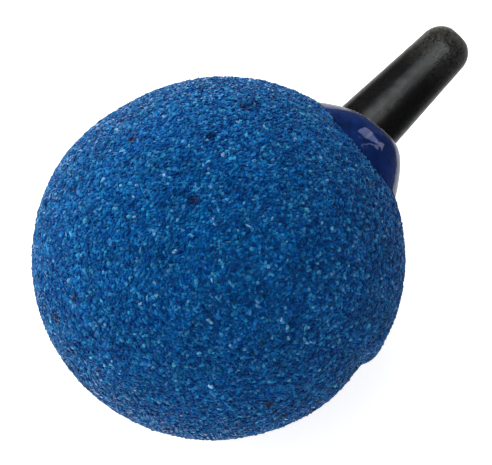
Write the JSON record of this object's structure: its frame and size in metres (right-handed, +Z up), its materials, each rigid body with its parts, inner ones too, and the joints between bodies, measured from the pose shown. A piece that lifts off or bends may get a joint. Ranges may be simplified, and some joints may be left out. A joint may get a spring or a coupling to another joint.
{
  "type": "aquarium air stone",
  "caption": "Ball-shaped aquarium air stone of blue bonded grit, with a tapered black plastic nozzle glued in for an airline hose.",
  "frame": {"origin": "on the surface that the ball stands on, under the middle of the whole part's box", "axes": "+X along the nozzle, from the ball towards its tip; +Z up; the ball's mould parting plane leans 10 degrees from the YZ plane about Z"},
  "size_m": [0.0422, 0.03, 0.0297],
  "materials": {
    "bonded_grit": "matte",
    "black_plastic": "satin",
    "blue_epoxy": "gloss"
  },
  "bodies": {
    "root": {"stone_ball": "bonded_grit", "hose_nozzle": "black_plastic", "epoxy_seal": "blue_epoxy"}
  },
  "joints": []
}
